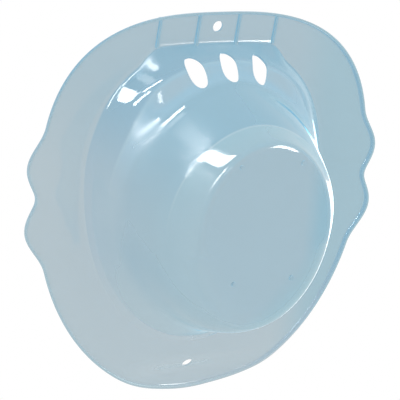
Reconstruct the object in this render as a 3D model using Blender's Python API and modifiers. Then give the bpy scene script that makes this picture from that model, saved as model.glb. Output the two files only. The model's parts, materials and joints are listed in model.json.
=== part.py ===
"""Sitz bath: one thin moulded basin that rests by its rim over a toilet bowl.

Metres, +Z up. X runs across, +Y towards the back with the vent slots, and the
origin lies under the middle of the bath, level with the tips of its feet.
"""
import math

import bmesh
import bpy
from mathutils import Matrix, Vector

# The moulding: one wall, with a drooping rim and a lip turned down all round.
wall = 0.002
rim_droop = 0.005
lip_drop = 0.0045
lip_bend = 0.002
ledge_depth = 0.038
bowl_depth = 0.091
floor_depth = 0.118
foot_height = 0.0008
overrun = 0.010

# Each ring is one closed line on the underside, seen from above as an egg:
# its widest place, its two ends and its depth below the shoulder.
rim_ring = {
    "half_width": 0.188, "widest_y": 0.0275, "back_y": 0.1951, "front_y": -0.1951,
    "back_depth": rim_droop, "side_depth": rim_droop, "back_power": 2.76, "front_power": 2.05}
shoulder_ring = {
    "half_width": 0.139, "widest_y": 0.040, "back_y": 0.168, "front_y": -0.146,
    "back_depth": 0.0, "side_depth": 0.0, "back_power": 2.1, "front_power": 2.05}
crease_ring = {
    "half_width": 0.131, "widest_y": 0.035, "back_y": 0.153, "front_y": -0.135,
    "back_depth": 0.026, "side_depth": 0.007, "back_power": 2.05, "front_power": 2.0}
ledge_ring = {
    "half_width": 0.119, "widest_y": 0.020, "back_y": 0.1355, "front_y": -0.120,
    "back_depth": ledge_depth, "side_depth": ledge_depth, "back_power": 1.7, "front_power": 2.0}
bowl_ring = {
    "half_width": 0.0955, "widest_y": 0.007, "back_y": 0.102, "front_y": -0.106,
    "back_depth": bowl_depth, "side_depth": bowl_depth, "back_power": 1.9, "front_power": 1.95}
floor_ring = {
    "half_width": 0.0735, "widest_y": 0.004, "back_y": 0.0915, "front_y": -0.090,
    "back_depth": floor_depth, "side_depth": floor_depth, "back_power": 2.0, "front_power": 2.0}

# How much of each bend is cut off, crisp at the back and softest at the front.
shoulder_bend = {"back": 0.004, "side": 0.009, "front": 0.040}
crease_bend = {"back": 0.005, "side": 0.013, "front": 0.040}
ledge_bend = {"back": 0.012, "side": 0.018, "front": 0.040}
bowl_bend = {"back": 0.005, "side": 0.005, "front": 0.040}
floor_bend = {"back": 0.007, "side": 0.006, "front": 0.040}
bend_limit_share = 0.44
crisp_from_share = 0.10
crisp_to_share = 0.60
soft_from_share = 0.10
soft_to_share = 0.60
deep_from_share = 0.25
deep_to_share = 0.88

# The straight part of the shoulder behind the vent slots.
shoulder_flat_y = 0.1644
shoulder_flat_half = 0.062
shoulder_flat_fade = 0.025

# Two rounded grips swell from each side of the rim.
grips = (
    {"y": 0.0517, "swell": 0.0131, "half_length": 0.0384},
    {"y": -0.0118, "swell": 0.0144, "half_length": 0.0405})
grip_side_x = 0.100

# The front lip lifts towards its edge, most of all in the middle.
lift_start_y = -0.159
lift_length = 0.024
lift_height = 0.013
lift_full_half = 0.020
lift_half_width = 0.100

# Vent slots through the back wall, about its crease and leaning in towards the floor.
slot_width = 0.019
slot_length = 0.0345
slot_spacing = 0.0365
slot_inset = 0.0085
slot_side_inset = 0.010
slot_below_crease = 0.0015
slot_slope = math.radians(54)
slot_lean = math.radians(16)

# Hanging holes, one at each end of the rim.
hole_diameter = 0.011
back_hole_inset = 0.0136
front_hole_inset = 0.0251

# Ribs under the back of the rim.
rib_places = (-0.067, -0.023, 0.023, 0.067)
rib_width = 0.0034
rib_height = 0.0045
rib_overlap = 0.0019
rib_bevel = 0.0008

# Four small feet under the floor.
foot_radius = 0.0026
back_feet_shares = (0.4762, 0.76)
front_feet_shares = (0.449, -0.5138)

around_count = 104
grip_density_share = 0.6
rim_step_shares = (0.76, 0.58)
lip_steps = 1
bend_steps = 2
floor_steps = 3
slot_sides = 28
hole_sides = 24
foot_sides = 16
length_samples = 1440
front_angle = -math.pi / 2.0

shoulder_z = floor_depth + foot_height
rib_inner_y = shoulder_flat_y - rib_overlap
back_hole_y = rim_ring["back_y"] - back_hole_inset
front_hole_y = rim_ring["front_y"] + front_hole_inset


def blend(low, high, value):
    """Smooth 0 to 1 as the value passes from low to high."""
    part = min(max((value - low) / (high - low), 0.0), 1.0)
    return part * part * (3.0 - 2.0 * part)


def egg_point(ring, angle):
    """Point of an egg-shaped ring at an angle about its widest place."""
    across, along = math.cos(angle), math.sin(angle)
    if along >= 0.0:
        reach = ring["back_y"] - ring["widest_y"]
        power = ring["back_power"]
    else:
        reach = ring["widest_y"] - ring["front_y"]
        power = ring["front_power"]
    across_part = abs(across / ring["half_width"]) ** power
    along_part = abs(along / reach) ** power
    radius = (across_part + along_part) ** (-1.0 / power)
    deep = blend(deep_from_share, deep_to_share, along)
    depth = ring["side_depth"] + (ring["back_depth"] - ring["side_depth"]) * deep
    return Vector((radius * across, ring["widest_y"] + radius * along, -depth))


def rim_point(angle):
    """Rim outline with its two grips on each side."""
    point = egg_point(rim_ring, angle)
    if abs(point.x) > grip_side_x:
        for grip in grips:
            away = min(abs(point.y - grip["y"]) / grip["half_length"], 1.0)
            swell = grip["swell"] * math.cos(math.pi / 2.0 * away) ** 2
            point.x += math.copysign(swell, point.x)
    return point


def shoulder_point(angle):
    """Inner edge of the rim, straight behind the slots."""
    point = egg_point(shoulder_ring, angle)
    if point.y > 0.0:
        flat = 1.0 - blend(shoulder_flat_half, shoulder_flat_half + shoulder_flat_fade, abs(point.x))
        point.y += (shoulder_flat_y - point.y) * flat
    return point


def cut_at(bend, angle):
    """How much of a bend is cut off at an angle, between its back, side and front values."""
    crisp = blend(crisp_from_share, crisp_to_share, math.sin(angle))
    soft = blend(soft_from_share, soft_to_share, -math.sin(angle))
    cut = bend["side"] + (bend["back"] - bend["side"]) * crisp
    return cut + (bend["front"] - bend["side"]) * soft


def rounded(before, corner, after, cut, steps):
    """Points of a bend: a parabola between the places where the cut starts and ends."""
    start = before - corner
    end = after - corner
    start = corner + start * min(cut / start.length, bend_limit_share)
    end = corner + end * min(cut / end.length, bend_limit_share)
    points = []
    for step in range(steps + 1):
        share = step / steps
        points.append(start.lerp(corner, share).lerp(corner.lerp(end, share), share))
    return points


def lifted(point):
    """Adds the rise of the front lip."""
    rise = lift_height * blend(0.0, lift_length, lift_start_y - point.y)
    rise *= 1.0 - blend(lift_full_half, lift_half_width, abs(point.x))
    return point + Vector((0.0, 0.0, rise))


def profile(angle):
    """Section of the underside from the lip's edge to the floor, at one angle."""
    edge = rim_point(angle)
    lip = edge - Vector((0.0, 0.0, lip_drop))
    rings = (crease_ring, ledge_ring, bowl_ring, floor_ring)
    corners = [lip, edge, shoulder_point(angle)]
    corners += [egg_point(ring, angle) for ring in rings]
    corners.append(Vector((0.0, floor_ring["widest_y"], corners[-1].z)))
    bends = (shoulder_bend, crease_bend, ledge_bend, bowl_bend, floor_bend)
    points = [lip]
    points += rounded(lip, edge, corners[2], lip_bend, lip_steps)
    points += [corners[2].lerp(edge, share) for share in rim_step_shares]
    for index, bend in enumerate(bends, start=2):
        steps = floor_steps if bend is floor_bend else bend_steps
        cut = cut_at(bend, angle)
        points += rounded(corners[index - 1], corners[index], corners[index + 1], cut, steps)
    rise = Vector((0.0, 0.0, shoulder_z))
    return [lifted(point) + rise for point in points]


def even_angles(count):
    """Angles from the front round, that divide the rim evenly and closer along the grips."""
    turn = 2.0 * math.pi / length_samples
    samples = [front_angle + turn * step for step in range(length_samples + 1)]
    lengths = [0.0]
    for start, end in zip(samples, samples[1:]):
        step_start, step_end = rim_point(start), rim_point(end)
        length = (step_end - step_start).length
        if any(abs(step_start.y - grip["y"]) < grip["half_length"] for grip in grips):
            length *= 1.0 + grip_density_share
        lengths.append(lengths[-1] + length)
    angles = []
    index = 0
    for step in range(count):
        target = lengths[-1] * step / count
        while lengths[index + 1] < target:
            index += 1
        share = (target - lengths[index]) / (lengths[index + 1] - lengths[index])
        angles.append(samples[index] + (samples[index + 1] - samples[index]) * share)
    return angles


def link(mesh_or_data, name, collection, matrix=None):
    """Makes an object of a mesh in a collection."""
    item = bpy.data.objects.new(name, mesh_or_data)
    collection.objects.link(item)
    if matrix is not None:
        item.matrix_world = matrix
    return item


def mesh_from(build_mesh, name):
    """Writes a bmesh into a new mesh."""
    mesh = bpy.data.meshes.new(name)
    build_mesh.to_mesh(mesh)
    build_mesh.free()
    return mesh


def hide_guide(item):
    """A guide shapes the basin and isn't part of it."""
    item.hide_render = True
    item.display_type = "WIRE"


def make_material():
    """Pale blue see-through plastic."""
    material = bpy.data.materials.new("blue_plastic")
    material.use_nodes = True
    shader = material.node_tree.nodes["Principled BSDF"]
    shader.inputs["Base Color"].default_value = (0.40, 0.62, 0.72, 1.0)
    shader.inputs["Roughness"].default_value = 0.08
    shader.inputs["Metallic"].default_value = 0.0
    shader.inputs["Transmission Weight"].default_value = 0.8
    shader.inputs["IOR"].default_value = 1.49
    return material


def make_shell(collection):
    """The wall, lofted through the rings on its underside and thickened upwards."""
    build_mesh = bmesh.new()
    columns = []
    for angle in even_angles(around_count):
        columns.append([build_mesh.verts.new(point) for point in profile(angle)])
    for index, column in enumerate(columns):
        following = columns[(index + 1) % len(columns)]
        for level in range(len(column) - 1):
            corners = (column[level], column[level + 1], following[level + 1], following[level])
            build_mesh.faces.new(corners)
    build_mesh.faces.new([column[-1] for column in reversed(columns)])
    bmesh.ops.recalc_face_normals(build_mesh, faces=build_mesh.faces)
    build_mesh.normal_update()
    lowest = min(build_mesh.faces, key=lambda face: face.calc_center_median().z)
    if lowest.normal.z > 0.0:
        bmesh.ops.reverse_faces(build_mesh, faces=build_mesh.faces)
    shell = link(mesh_from(build_mesh, "basin"), "basin", collection)
    thicken = shell.modifiers.new("wall", "SOLIDIFY")
    thicken.thickness = wall
    thicken.offset = -1.0
    thicken.use_even_offset = True
    thicken.use_quality_normals = True
    return shell


def make_ribs(collection):
    """Straight ribs under the back of the rim, from its inner edge to the lip."""
    inner = Vector((0.0, rib_inner_y, 0.0))
    outer = Vector((0.0, rim_ring["back_y"], -rim_droop))
    slope = math.atan2(outer.z - inner.z, outer.y - inner.y)
    for number, place in enumerate(rib_places, start=1):
        edge_y = rim_edge_y(place)
        length = (edge_y + wall / 2.0 - rib_inner_y) / math.cos(slope)
        height = rib_height + wall / 2.0
        build_mesh = bmesh.new()
        bmesh.ops.create_cube(build_mesh, size=1.0)
        bmesh.ops.scale(build_mesh, vec=(rib_width, length, height), verts=build_mesh.verts)
        lift = Vector((0.0, length / 2.0, wall / 2.0 - height / 2.0))
        bmesh.ops.translate(build_mesh, vec=lift, verts=build_mesh.verts)
        low_edges = [edge for edge in build_mesh.edges
                     if all(corner.co.z < -rib_height / 2.0 for corner in edge.verts)]
        bmesh.ops.bevel(build_mesh, geom=low_edges, offset=rib_bevel, segments=2, affect="EDGES")
        turn = Matrix.Rotation(slope, 4, "X")
        place_at = Matrix.Translation((place, rib_inner_y, shoulder_z)) @ turn
        rib = link(mesh_from(build_mesh, "rib"), "rib_%d" % number, collection, place_at)
        hide_guide(rib)


def rim_edge_y(place):
    """How far back the rim's outline lies at a place across."""
    reach = rim_ring["back_y"] - rim_ring["widest_y"]
    across = abs(place / rim_ring["half_width"]) ** rim_ring["back_power"]
    return rim_ring["widest_y"] + reach * (1.0 - across) ** (1.0 / rim_ring["back_power"])


def make_feet(collection):
    """Four small round feet under the floor."""
    number = 0
    for across_share, along_share in (back_feet_shares, front_feet_shares):
        end_y = floor_ring["back_y"] if along_share > 0.0 else floor_ring["front_y"]
        across = across_share * floor_ring["half_width"]
        along = floor_ring["widest_y"] + abs(along_share) * (end_y - floor_ring["widest_y"])
        for side in (-1.0, 1.0):
            number += 1
            build_mesh = bmesh.new()
            bmesh.ops.create_cone(
                build_mesh, cap_ends=True, segments=foot_sides,
                radius1=foot_radius, radius2=foot_radius, depth=foot_height + wall / 2.0)
            middle = (foot_height + wall / 2.0) / 2.0
            place_at = Matrix.Translation((side * across, along, middle))
            foot = link(mesh_from(build_mesh, "foot"), "foot_%d" % number, collection, place_at)
            hide_guide(foot)


def make_round_cutter(name, collection, width, length, sides, place_at):
    """An oval bar that cuts along its own Z."""
    build_mesh = bmesh.new()
    bmesh.ops.create_cone(
        build_mesh, cap_ends=True, segments=sides,
        radius1=width / 2.0, radius2=width / 2.0, depth=2.0 * overrun)
    bmesh.ops.scale(build_mesh, vec=(1.0, length / width, 1.0), verts=build_mesh.verts)
    cutter = link(mesh_from(build_mesh, name), name, collection, place_at)
    hide_guide(cutter)


def make_cutters(collection):
    """Three vent slots across the back wall and the two hanging holes."""
    for side in (-1.0, 0.0, 1.0):
        across = side * slot_spacing
        back = crease_ring["back_y"] - (slot_side_inset if side else slot_inset)
        depth = crease_ring["back_depth"] + slot_below_crease
        middle = Matrix.Translation((across, back, shoulder_z - depth))
        turn = Matrix.Rotation(-side * slot_lean, 4, "Z") @ Matrix.Rotation(slot_slope, 4, "X")
        name = "slot_%d" % (side + 2)
        make_round_cutter(name, collection, slot_width, slot_length, slot_sides, middle @ turn)
    rim_slope = math.atan2(rim_droop, rim_ring["back_y"] - shoulder_flat_y)
    for name, place_y, tilt in (("back_hole", back_hole_y, -rim_slope),
                                ("front_hole", front_hole_y, -front_slope())):
        height = shoulder_z + lifted(Vector((0.0, place_y, -rim_droop / 2.0))).z
        middle = Matrix.Translation((0.0, place_y, height))
        turn = Matrix.Rotation(tilt, 4, "X")
        make_round_cutter(name, collection, hole_diameter, hole_diameter, hole_sides, middle @ turn)


def front_slope():
    """Slope of the lifted front lip at its hanging hole, from two points beside the hole."""
    near = lifted(Vector((0.0, front_hole_y + hole_diameter / 2.0, 0.0)))
    far = lifted(Vector((0.0, front_hole_y - hole_diameter / 2.0, 0.0)))
    return math.atan2(far.z - near.z, near.y - far.y)


def add_boolean(item, name, operation, collection):
    """Joins or cuts with every object of a collection."""
    modifier = item.modifiers.new(name, "BOOLEAN")
    modifier.operation = operation
    modifier.operand_type = "COLLECTION"
    modifier.collection = collection
    modifier.solver = "EXACT"


def new_collection(name):
    """A collection under the scene."""
    collection = bpy.data.collections.new(name)
    bpy.context.scene.collection.children.link(collection)
    return collection


def main():
    for item in list(bpy.data.objects):
        bpy.data.objects.remove(item, do_unlink=True)
    bath = new_collection("sitz_bath")
    moulded = new_collection("moulded_on")
    cutters = new_collection("cutters")
    basin = make_shell(bath)
    basin.data.materials.append(make_material())
    make_ribs(moulded)
    make_feet(moulded)
    make_cutters(cutters)
    add_boolean(basin, "ribs_and_feet", "UNION", moulded)
    add_boolean(basin, "slots_and_holes", "DIFFERENCE", cutters)
    basin.data.shade_smooth()
    basin.data.set_sharp_from_angle(angle=math.radians(40))


main()
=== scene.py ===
# Sitz bath seen from below, on plain white.
import json
import math

import bmesh
import bpy
from mathutils import Matrix, Vector

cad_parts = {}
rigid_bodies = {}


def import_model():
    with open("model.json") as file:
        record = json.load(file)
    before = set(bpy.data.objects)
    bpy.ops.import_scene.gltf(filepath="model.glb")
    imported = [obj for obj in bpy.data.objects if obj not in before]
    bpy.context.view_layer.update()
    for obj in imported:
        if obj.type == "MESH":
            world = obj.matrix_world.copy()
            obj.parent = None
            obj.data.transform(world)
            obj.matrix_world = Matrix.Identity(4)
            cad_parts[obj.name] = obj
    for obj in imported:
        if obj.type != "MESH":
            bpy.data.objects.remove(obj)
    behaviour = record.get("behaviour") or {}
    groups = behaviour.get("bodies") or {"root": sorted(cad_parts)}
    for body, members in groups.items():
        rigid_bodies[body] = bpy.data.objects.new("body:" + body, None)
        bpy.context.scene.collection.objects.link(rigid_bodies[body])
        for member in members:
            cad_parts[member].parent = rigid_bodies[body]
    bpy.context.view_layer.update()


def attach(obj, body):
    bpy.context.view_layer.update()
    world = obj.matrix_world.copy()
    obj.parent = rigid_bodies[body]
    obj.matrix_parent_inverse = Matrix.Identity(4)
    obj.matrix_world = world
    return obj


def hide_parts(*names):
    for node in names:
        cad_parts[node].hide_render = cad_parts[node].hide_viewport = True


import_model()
print("frame loaded")


def smoothStep(low, high, value):
    part = min(max((value - low) / (high - low), 0), 1)
    return part * part * (3 - 2 * part)


def newCollection(name):
    made = bpy.data.collections.new(name)
    bpy.context.scene.collection.children.link(made)
    return made


def addObject(name, mesh, collection, matrix=None):
    item = bpy.data.objects.new(name, mesh)
    collection.objects.link(item)
    if matrix is not None:
        item.matrix_world = matrix
    return item


def toMesh(draft, name):
    mesh = bpy.data.meshes.new(name)
    draft.to_mesh(mesh)
    draft.free()
    return mesh


bathPieces = newCollection("sitzBath")
stagePieces = newCollection("stage")
mouldedOn = newCollection("mouldedOn")
cutOuts = newCollection("cutOuts")

basin = {
    "wall": .002,           # thickness of the plastic
    "rimDroop": .005,       # fall of the rim from shoulder to edge
    "lipDrop": .0045,       # turned-down lip
    "lipBend": .0024,
    "standOff": .0008,      # height of the feet
    "around": 320,          # columns round the bath
    "rimSamples": 2880,     # points that measure the rim's length
    "lipSteps": 5,
    "bendSteps": 8,
    "wallSteps": 4,
    "rimSteps": 14,         # steps across the flat of the rim
    "floorShares": (.8, .6, .4, .2, .08),   # rings of the bowl's floor
    "bow": .0010,           # swell of the bowl's wall
    "bowSpan": .030,        # shorter walls swell less
    "fit": .9986,           # keeps the swells of the grips inside the part's box
    "sharpFrom": 38,        # degrees between two faces that stay a crisp edge
}

# rings on the underside from the rim to the floor, as eggs seen from above
rings = {
    "rim": {"halfWidth": .188, "widestY": .0275, "backY": .1951, "frontY": -.1951,
            "backDepth": .005, "sideDepth": .005, "backPower": 2.76, "frontPower": 2.05},
    "shoulder": {"halfWidth": .139, "widestY": .040, "backY": .168, "frontY": -.146,
                 "backDepth": 0, "sideDepth": 0, "backPower": 2.1, "frontPower": 2.05},
    "crease": {"halfWidth": .131, "widestY": .035, "backY": .153, "frontY": -.135,
               "backDepth": .026, "sideDepth": .007, "backPower": 2.05, "frontPower": 2.0},
    "ledge": {"halfWidth": .119, "widestY": .020, "backY": .1355, "frontY": -.120,
              "backDepth": .038, "sideDepth": .038, "backPower": 1.7, "frontPower": 2.0},
    "bowl": {"halfWidth": .0965, "widestY": .007, "backY": .103, "frontY": -.106,
             "backDepth": .091, "sideDepth": .091, "backPower": 1.9, "frontPower": 1.95},
    "floor": {"halfWidth": .0735, "widestY": .004, "backY": .0915, "frontY": -.090,
              "backDepth": .118, "sideDepth": .118, "backPower": 2.0, "frontPower": 2.0},
}

# how far each bend reaches in m, crisp at the back and softer towards the front
bends = {
    "shoulder": {"back": .004, "side": .009, "front": .040},
    "upperWall": {"back": .012, "side": .012, "front": .012},
    "crease": {"back": .005, "side": .013, "front": .040},
    "ledge": {"back": .012, "side": .018, "front": .040},
    "lowerWall": {"back": .030, "side": .030, "front": .030},
    "bowl": {"back": .005, "side": .005, "front": .040},
    "floor": {"back": .007, "side": .006, "front": .040},
    "limit": .48,       # share of a wall that one bend may take
    # places round the bath, 1 at the back and -1 at the front
    "crispFrom": .10, "crispTo": .60, "softFrom": -.10, "softTo": -.60, "deepFrom": .25, "deepTo": .88,
}
flatBack = {"y": .1644, "half": .062, "fade": .025}     # straight shoulder behind the slots
grips = {
    "sideX": .100,      # they start this far out
    "swells": [{"y": .0517, "out": .0131, "half": .0384},
               {"y": -.0118, "out": .0144, "half": .0405}],
    "crowd": .6,        # columns stand closer on them
}
frontLip = {"startY": -.159, "length": .024, "height": .013, "fullHalf": .020, "zeroHalf": .100,
            "crease": .18}

shoulderZ = rings["floor"]["sideDepth"] + basin["standOff"]


def eggPoint(ring, angle):
    across, along = math.cos(angle), math.sin(angle)
    if along >= 0:
        reach, power = ring["backY"] - ring["widestY"], ring["backPower"]
    else:
        reach, power = ring["widestY"] - ring["frontY"], ring["frontPower"]
    total = abs(across / ring["halfWidth"]) ** power + abs(along / reach) ** power
    radius = total ** (-1 / power)
    deep = smoothStep(bends["deepFrom"], bends["deepTo"], along)
    depth = ring["sideDepth"] + (ring["backDepth"] - ring["sideDepth"]) * deep
    return Vector((radius * across, ring["widestY"] + radius * along, -depth))


def rimPoint(angle):
    point = eggPoint(rings["rim"], angle)
    if abs(point.x) > grips["sideX"]:
        for swell in grips["swells"]:
            away = min(abs(point.y - swell["y"]) / swell["half"], 1)
            point.x += math.copysign(swell["out"] * math.cos(math.pi / 2 * away) ** 2, point.x)
    return point


def shoulderPoint(angle):
    point = eggPoint(rings["shoulder"], angle)
    if point.y > 0:
        flat = 1 - smoothStep(flatBack["half"], flatBack["half"] + flatBack["fade"], abs(point.x))
        point.y += (flatBack["y"] - point.y) * flat
    return point


def bendPoints(before, corner, after, reach, steps):
    start, end = before - corner, after - corner
    start = corner + start * min(reach / start.length, bends["limit"])
    end = corner + end * min(reach / end.length, bends["limit"])
    return [start.lerp(corner, k / steps).lerp(corner.lerp(end, k / steps), k / steps)
            for k in range(steps + 1)]


def liftFront(point):
    part = min(max((frontLip["startY"] - point.y) / frontLip["length"], 0), 1)
    share = smoothStep(0, 1, part)
    rise = frontLip["height"] * (share + (part * (2 - part) - share) * frontLip["crease"])
    rise *= 1 - smoothStep(frontLip["fullHalf"], frontLip["zeroHalf"], abs(point.x))
    return point + Vector((0, 0, rise + shoulderZ))


def bowedMiddle(upper, lower, radial):
    # middle of the bowl's wall, swelled outwards square to it
    along = (lower - upper).normalized()
    outward = (radial - along * radial.dot(along)).normalized()
    swell = basin["bow"] * min((lower - upper).length / basin["bowSpan"], 1)
    return upper.lerp(lower, .5) + outward * swell


def sectionPoints(angle):
    # one section of the underside, from the lip's edge in to the floor
    crisp = smoothStep(bends["crispFrom"], bends["crispTo"], math.sin(angle))
    soft = smoothStep(-bends["softFrom"], -bends["softTo"], -math.sin(angle))
    edge = rimPoint(angle)
    lip = edge - Vector((0, 0, basin["lipDrop"]))
    shoulder, crease, ledge, bowl, floor = [
        eggPoint(rings[name], angle) for name in ("shoulder", "crease", "ledge", "bowl", "floor")]
    radial = Vector((math.cos(angle), math.sin(angle), 0))
    corners = [lip, edge, shoulderPoint(angle), shoulder.lerp(crease, .5), crease, ledge,
               bowedMiddle(ledge, bowl, radial), bowl, floor,
               Vector((0, rings["floor"]["widestY"], floor.z))]
    names = ("shoulder", "upperWall", "crease", "ledge", "lowerWall", "bowl", "floor")
    groups = [[lip], bendPoints(lip, edge, corners[2], basin["lipBend"], basin["lipSteps"])]
    for index, name in enumerate(names, start=2):       # the first two corners make the lip
        reach = bends[name]["side"] + (bends[name]["back"] - bends[name]["side"]) * crisp
        reach += (bends[name]["front"] - bends[name]["side"]) * soft
        groups.append(bendPoints(corners[index - 1], corners[index], corners[index + 1],
                                 reach, basin["bendSteps"]))
    points = []
    for group in groups:
        if points:      # straight stretch between two bends
            count = basin["rimSteps"] if group is groups[2] else basin["wallSteps"]
            points += [points[-1].lerp(group[0], k / count) for k in range(1, count)]
        points += group
    return [liftFront(point) * basin["fit"] for point in points]


def evenAngles(count):
    # angles that part the rim evenly, closer together on the grips
    samples = basin["rimSamples"]
    steps = [-math.pi / 2 + 2 * math.pi * k / samples for k in range(samples + 1)]
    lengths = [0]
    for here, there in zip(steps, steps[1:]):
        first, second = rimPoint(here), rimPoint(there)
        length = (second - first).length
        if any(abs(first.y - swell["y"]) < swell["half"] for swell in grips["swells"]):
            length *= 1 + grips["crowd"]
        lengths.append(lengths[-1] + length)
    angles, index = [], 0
    for k in range(count):
        target = lengths[-1] * k / count
        while lengths[index + 1] < target:
            index += 1
        share = (target - lengths[index]) / (lengths[index + 1] - lengths[index])
        angles.append(steps[index] + (steps[index + 1] - steps[index]) * share)
    return angles


def makeShell():
    draft = bmesh.new()
    columns = [[draft.verts.new(point) for point in sectionPoints(angle)]
               for angle in evenAngles(basin["around"])]
    for index, column in enumerate(columns):
        nextColumn = columns[(index + 1) % len(columns)]
        for level in range(len(column) - 1):
            draft.faces.new((column[level], nextColumn[level],
                             nextColumn[level + 1], column[level + 1]))
    # floor: rings shrinking to a small middle face
    middle = Vector((0, rings["floor"]["widestY"] * basin["fit"], columns[0][-1].co.z))
    inner = [column[-1] for column in columns]
    for share in basin["floorShares"]:
        shrunk = [draft.verts.new(middle.lerp(column[-1].co, share)) for column in columns]
        for index in range(len(inner)):
            after = (index + 1) % len(inner)
            draft.faces.new((inner[index], inner[after], shrunk[after], shrunk[index]))
        inner = shrunk
    draft.faces.new(inner)
    bmesh.ops.recalc_face_normals(draft, faces=draft.faces)
    draft.normal_update()
    lowest = min(draft.faces, key=lambda face: face.calc_center_median().z)
    if lowest.normal.z > 0:
        bmesh.ops.reverse_faces(draft, faces=draft.faces)
    shell = addObject("basinShell", toMesh(draft, "basinShell"), bathPieces)
    thicken = shell.modifiers.new("wall", "SOLIDIFY")
    thicken.thickness = basin["wall"]
    thicken.offset = -1
    thicken.use_even_offset = True
    thicken.use_quality_normals = True
    return shell


ribs = {"places": (-.067, -.023, .023, .067), "width": .0034, "height": .0045,
        "innerY": .1625, "bevel": .0009, "bevelSteps": 4}
feet = {"radius": .0026, "spots": [(.035, .0705), (.033, -.0443)], "sides": 40,
        "bevel": .0003, "bevelSteps": 3}


def rimEdgeY(place):
    ring = rings["rim"]
    across = abs(place / ring["halfWidth"]) ** ring["backPower"]
    reach = (1 - across) ** (1 / ring["backPower"])
    return ring["widestY"] + (ring["backY"] - ring["widestY"]) * reach


def makeRibs():
    slope = math.atan2(-basin["rimDroop"], rings["rim"]["backY"] - ribs["innerY"])
    for place in ribs["places"]:
        length = (rimEdgeY(place) + basin["wall"] / 2 - ribs["innerY"]) / math.cos(slope)
        height = ribs["height"] + basin["wall"] / 2
        draft = bmesh.new()
        bmesh.ops.create_cube(draft, size=1)
        bmesh.ops.scale(draft, vec=(ribs["width"], length, height), verts=draft.verts)
        bmesh.ops.translate(draft, vec=(0, length / 2, basin["wall"] / 2 - height / 2), verts=draft.verts)
        low = [edge for edge in draft.edges if all(v.co.z < -ribs["height"] / 2 for v in edge.verts)]
        bmesh.ops.bevel(draft, geom=low, offset=ribs["bevel"], segments=ribs["bevelSteps"], affect="EDGES")
        spot = Matrix.Translation((place, ribs["innerY"], shoulderZ)) @ Matrix.Rotation(slope, 4, "X")
        addObject("ribShape", toMesh(draft, "ribShape"), mouldedOn, spot)


def makeFeet():
    for x, y in feet["spots"]:
        for side in (-1, 1):
            draft = bmesh.new()
            depth = basin["standOff"] + basin["wall"] / 2
            bmesh.ops.create_cone(draft, cap_ends=True, segments=feet["sides"],
                                  radius1=feet["radius"], radius2=feet["radius"], depth=depth)
            low = [edge for edge in draft.edges if all(v.co.z < 0 for v in edge.verts)]
            bmesh.ops.bevel(draft, geom=low, offset=feet["bevel"], segments=feet["bevelSteps"],
                            affect="EDGES")
            addObject("footShape", toMesh(draft, "footShape"), mouldedOn,
                      Matrix.Translation((side * x, y, depth / 2)))


slots = {"width": .019, "length": .0345, "spacing": .0365, "y": .1445, "sideY": .143,
         "depth": .0275, "slope": math.radians(54), "lean": math.radians(16), "sides": 72}
holes = {"diameter": .011, "backY": .1815, "frontY": -.170, "sides": 56}
cutReach = .020         # length of the shapes that cut slots and holes


def makeCutter(name, width, length, sides, matrix):
    draft = bmesh.new()
    bmesh.ops.create_cone(draft, cap_ends=True, segments=sides, radius1=width / 2,
                          radius2=width / 2, depth=cutReach)
    bmesh.ops.scale(draft, vec=(1, length / width, 1), verts=draft.verts)
    addObject(name, toMesh(draft, name), cutOuts, matrix)


def makeCutters():
    for side in (-1, 0, 1):
        back = slots["sideY"] if side else slots["y"]
        spot = Matrix.Translation((side * slots["spacing"], back, shoulderZ - slots["depth"]))
        turn = Matrix.Rotation(-side * slots["lean"], 4, "Z") @ Matrix.Rotation(slots["slope"], 4, "X")
        makeCutter("slotShape", slots["width"], slots["length"], slots["sides"], spot @ turn)
    rimSlope = math.atan2(basin["rimDroop"], rings["rim"]["backY"] - flatBack["y"])
    near = liftFront(Vector((0, holes["frontY"] + holes["diameter"] / 2, 0)))
    far = liftFront(Vector((0, holes["frontY"] - holes["diameter"] / 2, 0)))
    frontSlope = math.atan2(far.z - near.z, near.y - far.y)
    for y, tilt in ((holes["backY"], -rimSlope), (holes["frontY"], -frontSlope)):
        height = liftFront(Vector((0, y, -basin["rimDroop"] / 2))).z
        spot = Matrix.Translation((0, y, height)) @ Matrix.Rotation(tilt, 4, "X")
        makeCutter("holeShape", holes["diameter"], holes["diameter"], holes["sides"], spot)


def finishShell(shell):
    for name, operation, shapes in (("join", "UNION", mouldedOn), ("cut", "DIFFERENCE", cutOuts)):
        step = shell.modifiers.new(name, "BOOLEAN")
        step.operation, step.operand_type, step.collection = operation, "COLLECTION", shapes
        step.solver = "MANIFOLD"
    bpy.context.view_layer.update()
    solid = shell.evaluated_get(bpy.context.evaluated_depsgraph_get())
    mesh = bpy.data.meshes.new_from_object(solid)
    shell.modifiers.clear()
    shell.data = mesh
    mesh.shade_smooth()
    mesh.set_sharp_from_angle(angle=math.radians(basin["sharpFrom"]))
    for shapes in (mouldedOn, cutOuts):
        for item in list(shapes.objects):
            bpy.data.objects.remove(item, do_unlink=True)
        bpy.data.collections.remove(shapes)


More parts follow.
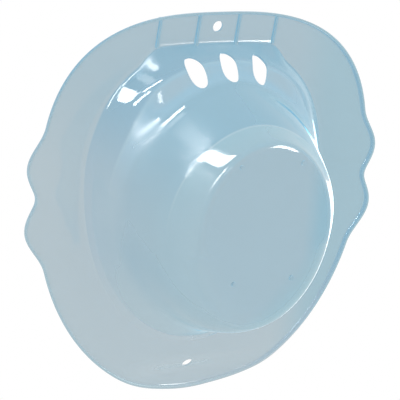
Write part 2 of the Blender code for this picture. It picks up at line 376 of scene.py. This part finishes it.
plastic = {
    # (height over the floor in m, colour) for the walls in three parts of the bath; these bands by height
    # are painted light and shade
    # front walls: painted light, lighter than the side walls
    "frontWallsPaintedLight": [(0, (.367, .468, .503)), (.11, (.391, .464, .503))],
    # side walls: painted shade, darker on the middle of the wall than near the floor and the top
    "sideWallsPaintedShade": [(.004, (.305, .438, .503)), (.028, (.262, .400, .474)), (.070, (.262, .388, .470)),
                  (.088, (.319, .424, .492)), (.112, (.327, .426, .498))],
    # back walls: a lighter painted reflection on the band above the floor, painted highlight lines at
    # .0275 m and .0925 m, painted shade on the steep walls
    "backWallsPaintedShadeAndHighlights": [(.003, (.290, .472, .562)), (.022, (.275, .482, .578)), (.0262, (.275, .482, .578)),
                  (.0275, (.38, .56, .64)), (.0290, (.200, .405, .538)), (.077, (.205, .410, .541)),
                  (.0815, (.250, .476, .630)), (.090, (.243, .466, .622)), (.0925, (.28, .49, .62)),
                  (.0945, (.187, .377, .520)), (.113, (.172, .360, .495))],
    "floor": (.326, .450, .512),
    # painted shade: the floor's edge and the bowl's foot under the right grips are darker and bluer
    "floorFarPaintedShade": (.215, .425, .525),     # its edge under the right grips
    "farCornerPaintedShade": (.262, .448, .520),    # foot of the bowl between the right grips and the front
    # the rim's colours are painted light and shade: lighter at the front, darker at the back and darker
    # still on the far side
    "rimFrontPaintedLight": (.408, .476, .511),
    "rimBackPaintedShade": (.335, .444, .504),
    "rimFarSidePaintedShade": (.268, .432, .508),
    # painted shade: the side wall under the right grips is darker and bluer
    "farWallPaintedShade": (.123, .338, .477),      # side wall under the right grips
    # noise is scale, detail and roughness of a cloudy pattern
    "drift": {"noise": (9, 6, .62), "swing": .035},                 # of the colour
    "gloss": {"noise": (34, 4, .5), "between": (.35, .70), "roughness": (.035, .075)},
    "ripple": {"noise": (55, 3, .5), "strength": .04, "height": .002},      # waves left by the mould
    "transmission": .62,
    "ior": 1.49,
    "tint": (.30, .80, .95, 1),
    "tintDensity": 85,
    "passing": (.86, .92, .96, 1),      # what soft light keeps on its way through
    "mirrored": (.97, .985, .995, 1),   # and what a mirrored view keeps
    # slanting ways across the bath, measured beside X, Y and Z
    "ways": {"across": (-.6, 1, 0), "aside": (-.85, 1, 0), "corner": (-.72, -.69, 0)},
    # parts of the bath where the colour takes painted light and shade: (measure, where the part is empty,
    # where it is full)
    "zones": {
        "level": [("upright", .80, .97)],       # sheet that lies flat
        "front": [("across", -.09, -.16)],
        "back": [("across", -.07, .07)],
        "high": [("Z", .02, .10)],
        # masks of painted shade on the far side of the bath
        "farSidePaintedShade": [("X", -.09, -.15)],
        "farWallPaintedShade": [("X", -.055, -.085), ("Z", .082, .070)],
        "floorFarPaintedShade": [("X", -.040, -.066), ("Y", -.060, -.010)],
        "farCornerPaintedShade": [("corner", .044, .078), ("Z", .080, .045)],
    },
    # where the gloss is more like satin: the added roughness and the part
    "satin": [
        (.20, [("aside", .038, .024), ("aside", -.060, -.020), ("Z", .096, .091), ("Z", .058, .070)]),
        (.13, [("aside", -.015, .010), ("aside", .085, .060), ("Z", .028, .034), ("Z", .074, .066),
               ("X", 0, .03)]),
        (.14, [("aside", .020, .008), ("Z", .002, .005), ("Z", .042, .034), ("X", .02, .04)]),
        (.17, [("X", -.036, -.016), ("Y", .136, .144), ("Y", .176, .170), ("Z", .103, .108)]),
    ],
}


def mixShaders(nodes, links, share, first, second):
    mix = nodes.new("ShaderNodeMixShader")
    links.new(share, mix.inputs[0])
    links.new(first, mix.inputs[1])
    links.new(second, mix.inputs[2])
    return mix.outputs[0]


def mixColours(nodes, links, share, first, second):
    mix = nodes.new("ShaderNodeMix")
    mix.data_type = "RGBA"
    links.new(share, mix.inputs[0])
    for socket, value in ((mix.inputs[6], first), (mix.inputs[7], second)):
        if isinstance(value, tuple):
            socket.default_value = (*value, 1)
        else:
            links.new(value, socket)
    return mix.outputs[2]


def softRange(nodes, links, value, low, high):
    soft = nodes.new("ShaderNodeMapRange")
    soft.interpolation_type = "SMOOTHSTEP"
    soft.inputs["From Min"].default_value = low
    soft.inputs["From Max"].default_value = high
    links.new(value, soft.inputs["Value"])
    return soft.outputs[0]


def combine(nodes, links, operation, first, second):
    step = nodes.new("ShaderNodeMath")
    step.operation = operation
    links.new(first, step.inputs[0])
    links.new(second, step.inputs[1])
    return step.outputs[0]


def zoneShare(nodes, links, measures, limits):
    # product of soft ranges, 1 where all of them are full
    share = None
    for name, empty, full in limits:
        part = softRange(nodes, links, measures[name], empty, full)
        share = part if share is None else combine(nodes, links, "MULTIPLY", share, part)
    return share


def noiseOf(nodes, links, place, values):
    noise = nodes.new("ShaderNodeTexNoise")
    for name, value in zip(("Scale", "Detail", "Roughness"), values["noise"]):
        noise.inputs[name].default_value = value
    links.new(place.outputs["Object"], noise.inputs["Vector"])
    return noise.outputs["Fac"]


def heightRamp(nodes, links, height, colours):
    share = nodes.new("ShaderNodeMapRange")
    share.inputs["From Max"].default_value = shoulderZ
    links.new(height, share.inputs["Value"])
    ramp = nodes.new("ShaderNodeValToRGB")
    stops = ramp.color_ramp.elements
    for index, (spot, colour) in enumerate(colours):
        stop = stops[index] if index < 2 else stops.new(spot / shoulderZ)
        stop.position, stop.color = spot / shoulderZ, (*colour, 1)
    links.new(share.outputs[0], ramp.inputs[0])
    return ramp.outputs["Color"]


def measurePlaces(nodes, links, place):
    # X, Y and Z of a point, the slanting ways across the bath, and how flat the sheet lies
    split = nodes.new("ShaderNodeSeparateXYZ")
    links.new(place.outputs["Object"], split.inputs[0])
    measures = {name: split.outputs[name] for name in "XYZ"}
    for name, way in plastic["ways"].items():
        slant = nodes.new("ShaderNodeVectorMath")
        slant.operation = "DOT_PRODUCT"
        slant.inputs[1].default_value = way
        links.new(place.outputs["Object"], slant.inputs[0])
        measures[name] = slant.outputs["Value"]
    facing = nodes.new("ShaderNodeSeparateXYZ")
    links.new(place.outputs["Normal"], facing.inputs[0])
    upright = nodes.new("ShaderNodeMath")
    upright.operation = "ABSOLUTE"
    links.new(facing.outputs["Z"], upright.inputs[0])
    measures["upright"] = upright.outputs[0]
    return measures


def plasticColourAndPaintedLight(nodes, links, place, measures):
    # the plastic's blue, with painted light and shade laid over it by place, height and slope; the drift
    # below is the plastic's own random tone
    share = {name: zoneShare(nodes, links, measures, limits)
             for name, limits in plastic["zones"].items()}
    side, back, front = [heightRamp(nodes, links, measures["Z"], plastic[name])
                         for name in ("sideWallsPaintedShade", "backWallsPaintedShadeAndHighlights", "frontWallsPaintedLight")]
    # the walls take their painted bands of light and shade by part of the bath
    walls = mixColours(nodes, links, share["back"], side, back)
    walls = mixColours(nodes, links, share["front"], walls, front)
    # painted shade: the far side wall darker and bluer
    walls = mixColours(nodes, links, share["farWallPaintedShade"], walls, plastic["farWallPaintedShade"])
    # painted light and shade on the rim: lighter at the front, darker at the back and on the far side
    rim = mixColours(nodes, links, share["back"], plastic["rimFrontPaintedLight"], plastic["rimBackPaintedShade"])
    rim = mixColours(nodes, links, share["farSidePaintedShade"], rim, plastic["rimFarSidePaintedShade"])
    # painted shade: the floor's far edge darker and bluer
    floor = mixColours(nodes, links, share["floorFarPaintedShade"], plastic["floor"], plastic["floorFarPaintedShade"])
    sheet = mixColours(nodes, links, share["high"], floor, rim)
    # painted reflection and shade by slope: flat sheet takes the greyer rim and floor colours, steep sheet
    # the bluer wall colours
    colour = mixColours(nodes, links, share["level"], walls, sheet)
    # painted shade: the bowl's foot at the far corner darker
    colour = mixColours(nodes, links, share["farCornerPaintedShade"], colour, plastic["farCornerPaintedShade"])
    drift = plastic["drift"]
    swing = nodes.new("ShaderNodeMapRange")
    swing.inputs["To Min"].default_value = 1 - drift["swing"]
    swing.inputs["To Max"].default_value = 1 + drift["swing"]
    links.new(noiseOf(nodes, links, place, drift), swing.inputs["Value"])
    shade = nodes.new("ShaderNodeVectorMath")
    shade.operation = "SCALE"
    links.new(colour, shade.inputs[0])
    links.new(swing.outputs[0], shade.inputs["Scale"])
    return shade.outputs[0]


def plasticRoughness(nodes, links, place, measures):
    values = plastic["gloss"]
    gloss = nodes.new("ShaderNodeMapRange")
    gloss.inputs["From Min"].default_value, gloss.inputs["From Max"].default_value = values["between"]
    gloss.inputs["To Min"].default_value, gloss.inputs["To Max"].default_value = values["roughness"]
    links.new(noiseOf(nodes, links, place, values), gloss.inputs["Value"])
    rough = gloss.outputs[0]
    for added, limits in plastic["satin"]:
        more = nodes.new("ShaderNodeMath")
        more.operation = "MULTIPLY_ADD"
        more.inputs[1].default_value = added
        links.new(zoneShare(nodes, links, measures, limits), more.inputs[0])
        links.new(gloss.outputs[0], more.inputs[2])
        rough = combine(nodes, links, "MAXIMUM", rough, more.outputs[0])
    return rough


def makePlastic():
    material = bpy.data.materials.new("bluePlastic")
    material.use_nodes = True
    nodes, links = material.node_tree.nodes, material.node_tree.links
    shader = nodes["Principled BSDF"]
    shader.inputs["Transmission Weight"].default_value = plastic["transmission"]
    shader.inputs["IOR"].default_value = plastic["ior"]
    place = nodes.new("ShaderNodeTexCoord")
    measures = measurePlaces(nodes, links, place)
    links.new(plasticColourAndPaintedLight(nodes, links, place, measures), shader.inputs["Base Color"])
    links.new(plasticRoughness(nodes, links, place, measures), shader.inputs["Roughness"])
    ripple = plastic["ripple"]
    bump = nodes.new("ShaderNodeBump")
    bump.inputs["Strength"].default_value = ripple["strength"]
    bump.inputs["Distance"].default_value = ripple["height"]
    links.new(noiseOf(nodes, links, place, ripple), bump.inputs["Height"])
    links.new(bump.outputs[0], shader.inputs["Normal"])
    # soft light, lamps and mirrored rays pass through the thin wall
    path = nodes.new("ShaderNodeLightPath")
    shown = shader.outputs[0]
    for ray, name in (("Is Glossy Ray", "mirrored"), ("Is Diffuse Ray", "passing"),
                      ("Is Shadow Ray", "passing")):
        clear = nodes.new("ShaderNodeBsdfTransparent")
        clear.inputs["Color"].default_value = plastic[name]
        shown = mixShaders(nodes, links, path.outputs[ray], shown, clear.outputs[0])
    links.new(shown, nodes["Material Output"].inputs["Surface"])
    absorb = nodes.new("ShaderNodeVolumeAbsorption")
    absorb.inputs["Color"].default_value = plastic["tint"]
    absorb.inputs["Density"].default_value = plastic["tintDensity"]
    links.new(absorb.outputs["Volume"], nodes["Material Output"].inputs["Volume"])
    return material


shell = makeShell()
makeRibs()
makeFeet()
makeCutters()
finishShell(shell)
shell.data.materials.clear()
shell.data.materials.append(makePlastic())
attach(shell, "root")
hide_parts("basin")
print("basin made", len(shell.data.polygons), "faces")

floorLook = {"size": 40, "colour": (.9, .9, .9, 1), "roughness": .9}


def makeFloor():
    draft = bmesh.new()
    bmesh.ops.create_grid(draft, x_segments=1, y_segments=1, size=floorLook["size"] / 2)
    floor = addObject("paleFloor", toMesh(draft, "paleFloor"), stagePieces)
    material = bpy.data.materials.new("floorWhite")
    material.use_nodes = True
    nodes, links = material.node_tree.nodes, material.node_tree.links
    shader = nodes["Principled BSDF"]
    shader.inputs["Base Color"].default_value = floorLook["colour"]
    shader.inputs["Roughness"].default_value = floorLook["roughness"]
    shader.inputs["Specular IOR Level"].default_value = 0
    clear = nodes.new("ShaderNodeBsdfTransparent")
    bright = nodes.new("ShaderNodeEmission")
    side = nodes.new("ShaderNodeNewGeometry")
    path = nodes.new("ShaderNodeLightPath")
    # mirrored rays go on to the white room below; seen from below the floor isn't there
    gone = combine(nodes, links, "MAXIMUM", side.outputs["Backfacing"], path.outputs["Is Shadow Ray"])
    gone = combine(nodes, links, "MAXIMUM", gone, path.outputs["Is Glossy Ray"])
    shown = mixShaders(nodes, links, path.outputs["Is Transmission Ray"], shader.outputs[0],
                       bright.outputs[0])
    shown = mixShaders(nodes, links, gone, shown, clear.outputs[0])
    links.new(shown, nodes["Material Output"].inputs["Surface"])
    floor.data.materials.append(material)


# a soft grey card past the front, seen only in the gloss of the plastic; it fades out to its edges
card = {"azimuth": -84, "height": 38, "away": 1.5, "size": (4.4, 2.6), "colour": (.60, .67, .71, 1),
        "full": .6}


def pointAway(values):
    azimuth, height = math.radians(values["azimuth"]), math.radians(values["height"])
    return Vector((math.cos(azimuth) * math.cos(height), math.sin(azimuth) * math.cos(height),
                   math.sin(height)))


def makeCard():
    draft = bmesh.new()
    bmesh.ops.create_grid(draft, x_segments=1, y_segments=1, size=1)
    away = pointAway(card)
    turn = away.to_track_quat("Z", "Y").to_matrix().to_4x4()
    size = Matrix.Diagonal((card["size"][0] / 2, card["size"][1] / 2, 1, 1))
    spot = Matrix.Translation(away * card["away"])
    sheet = addObject("greyCard", toMesh(draft, "greyCard"), stagePieces, spot @ turn @ size)
    material = bpy.data.materials.new("cardGrey")
    material.use_nodes = True
    nodes, links = material.node_tree.nodes, material.node_tree.links
    place = nodes.new("ShaderNodeTexCoord")
    fade = nodes.new("ShaderNodeTexGradient")
    fade.gradient_type = "SPHERICAL"
    links.new(place.outputs["Object"], fade.inputs["Vector"])
    soft = softRange(nodes, links, fade.outputs["Fac"], 0, card["full"])
    clear = nodes.new("ShaderNodeBsdfTransparent")
    grey = nodes.new("ShaderNodeEmission")
    grey.inputs["Color"].default_value = card["colour"]
    shown = mixShaders(nodes, links, soft, clear.outputs[0], grey.outputs[0])
    links.new(shown, nodes["Material Output"].inputs["Surface"])
    sheet.data.materials.append(material)
    sheet.visible_camera = sheet.visible_diffuse = False
    sheet.visible_transmission = sheet.visible_shadow = False


worldLook = {"colour": (1, 1, 1, 1), "soft": .8, "seen": 1}     # strength as soft light and as seen


def makeWorld():
    world = bpy.data.worlds.new("whiteRoom")
    bpy.context.scene.world = world
    world.use_nodes = True
    nodes, links = world.node_tree.nodes, world.node_tree.links
    light = nodes["Background"]
    light.inputs["Color"].default_value = worldLook["colour"]
    light.inputs["Strength"].default_value = worldLook["soft"]
    # the camera, mirrored views and views through the wall all see plain white
    seen = nodes.new("ShaderNodeBackground")
    seen.inputs["Color"].default_value = worldLook["colour"]
    seen.inputs["Strength"].default_value = worldLook["seen"]
    path = nodes.new("ShaderNodeLightPath")
    plain = combine(nodes, links, "MAXIMUM", path.outputs["Is Camera Ray"], path.outputs["Is Glossy Ray"])
    plain = combine(nodes, links, "MAXIMUM", plain, path.outputs["Is Transmission Ray"])
    shown = mixShaders(nodes, links, plain, light.outputs[0], seen.outputs[0])
    links.new(shown, nodes["World Output"].inputs["Surface"])


# directions from the middle of the bath, in degrees; only the gloss shows them, and one that shades
# isn't mirrored
lampMiddle = (0, 0, .08)
lamps = {
    "windowNear": {"azimuth": 63, "height": -9.0, "away": .51, "size": (.17, .055), "bright": 24},
    "windowHigh": {"azimuth": 46.4, "height": -7.4, "away": .89, "size": (.23, .050), "turn": 27,
                   "bright": 24},
    "windowLow": {"azimuth": 46, "height": -30, "away": 1.6, "size": (.56, .24), "turn": -8, "bright": 24},
    "patch": {"azimuth": 64, "height": -57, "away": 1.6, "size": (.22, .10), "bright": 12},
    "side": {"azimuth": 152, "height": -42, "away": 1.6, "size": (.50, .66), "turn": 20, "bright": 20},
    "farEdge": {"azimuth": 201, "height": 42, "away": 1.6, "size": (.58, .50), "bright": 2.2},
    "glow": {"azimuth": 65, "height": 3.2, "away": 1.6, "size": (.36, .24), "bright": 3.4},
    "top": {"azimuth": 200, "height": 60, "away": 2.2, "size": (1.5, 1.5), "bright": 1.2, "shades": True},
}


def makeLamps():
    for name, lamp in lamps.items():
        data = bpy.data.lights.new(name, "AREA")
        data.shape = "RECTANGLE"
        data.size, data.size_y = lamp["size"]
        data.energy = lamp["bright"] * math.pi * lamp["size"][0] * lamp["size"][1]
        away = pointAway(lamp)
        spot = Vector(lampMiddle) + away * lamp["away"]
        turn = away.to_track_quat("Z", "Y").to_matrix().to_4x4()
        turn = turn @ Matrix.Rotation(math.radians(lamp.get("turn", 0)), 4, "Z")
        light = addObject(name, data, stagePieces, Matrix.Translation(spot) @ turn)
        light.visible_camera = False
        light.visible_transmission = False      # the wall shows the white room, not the lamp
        light.visible_diffuse = lamp.get("shades", False)
        light.visible_glossy = not lamp.get("shades", False)


makeFloor()
makeCard()
makeWorld()
makeLamps()
print("stage made")

# matched to the photo; focal length and centre are in pixels of a 400 x 400 picture
camera = {
    "right": (-.84783, .07731, -.52461), "up": (-.07532, .96173, .26345),
    "toward": (.5249, .26287, -.80956), "away": 2,
    "focal": 1997, "centre": (201.9981, 204.3135), "frame": 400, "sensor": 36, "clip": (.01, 50),
}


def makeCamera():
    data = bpy.data.cameras.new("photoCamera")
    data.sensor_width = camera["sensor"]
    data.sensor_fit = "HORIZONTAL"
    data.lens = camera["focal"] * data.sensor_width / camera["frame"]
    data.shift_x = -(camera["centre"][0] - camera["frame"] / 2) / camera["frame"]
    data.shift_y = (camera["centre"][1] - camera["frame"] / 2) / camera["frame"]
    data.clip_start, data.clip_end = camera["clip"]
    turn = Matrix((camera["right"], camera["up"], camera["toward"])).transposed().to_4x4()
    spot = Vector((0, 0, shoulderZ)) + Vector(camera["toward"]) * camera["away"]
    item = addObject("photoCamera", data, stagePieces, Matrix.Translation(spot) @ turn)
    bpy.context.scene.camera = item


makeCamera()
bpy.context.scene.view_settings.view_transform = "Standard"
print("camera made")
